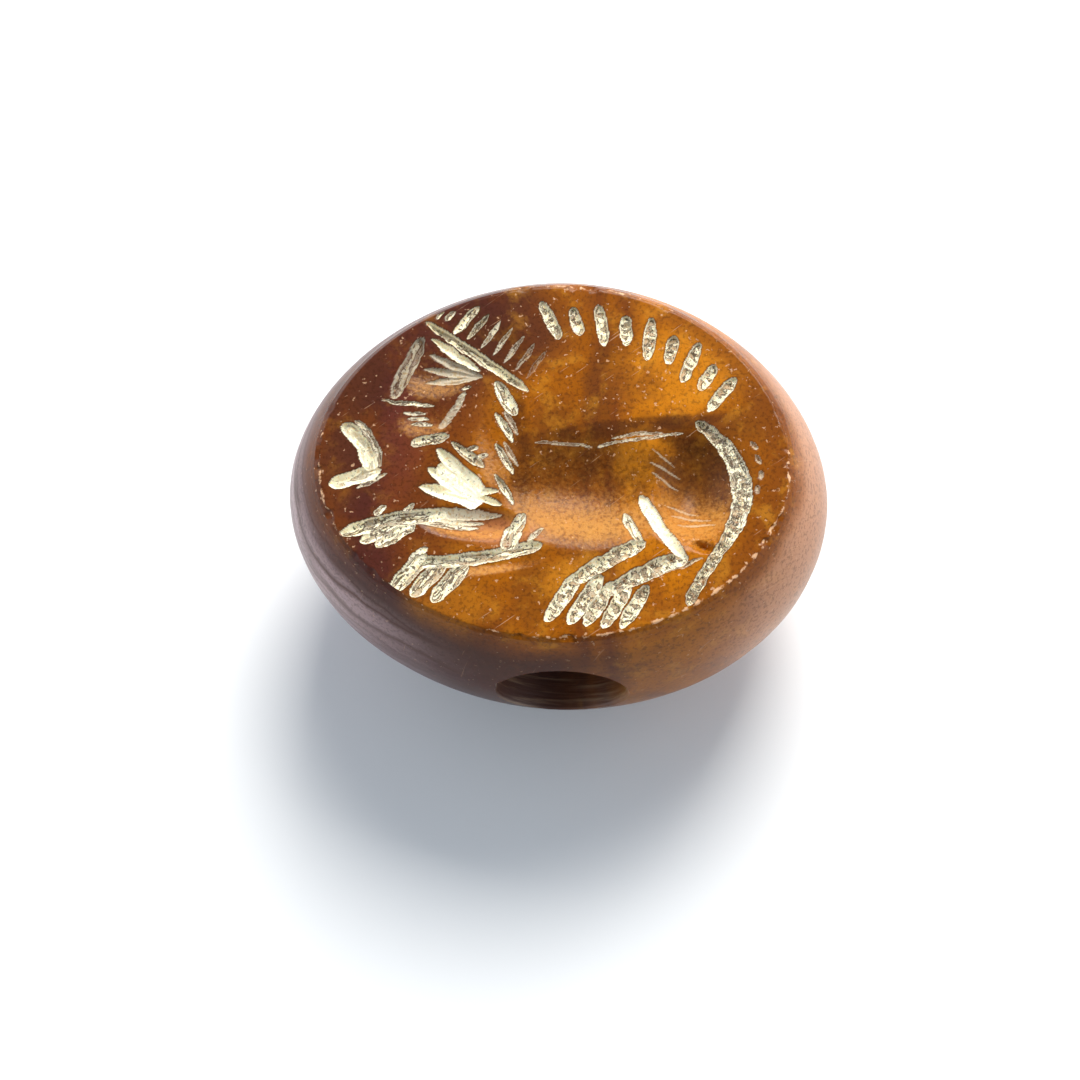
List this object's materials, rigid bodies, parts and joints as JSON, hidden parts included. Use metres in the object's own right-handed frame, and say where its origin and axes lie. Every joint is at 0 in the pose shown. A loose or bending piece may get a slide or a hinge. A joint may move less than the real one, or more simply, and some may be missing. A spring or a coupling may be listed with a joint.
{
  "type": "bead seal",
  "caption": "Flattened ellipsoid stone seal, bored for a cord, with a lying lion and a crescent cut into its polished face.",
  "frame": {"origin": "middle of the small flat on the rounded back, on which the stone rests", "axes": "+X along the carved face towards the lion's tail, +Y across it along the bore towards the lion's back, +Z out of the carved face"},
  "size_m": [0.021, 0.016, 0.0122],
  "materials": {
    "agate": "banded brown agate, polished and slightly translucent, with frosted wheel cuts"
  },
  "bodies": {
    "root": {"seal_stone": "agate"}
  },
  "joints": []
}
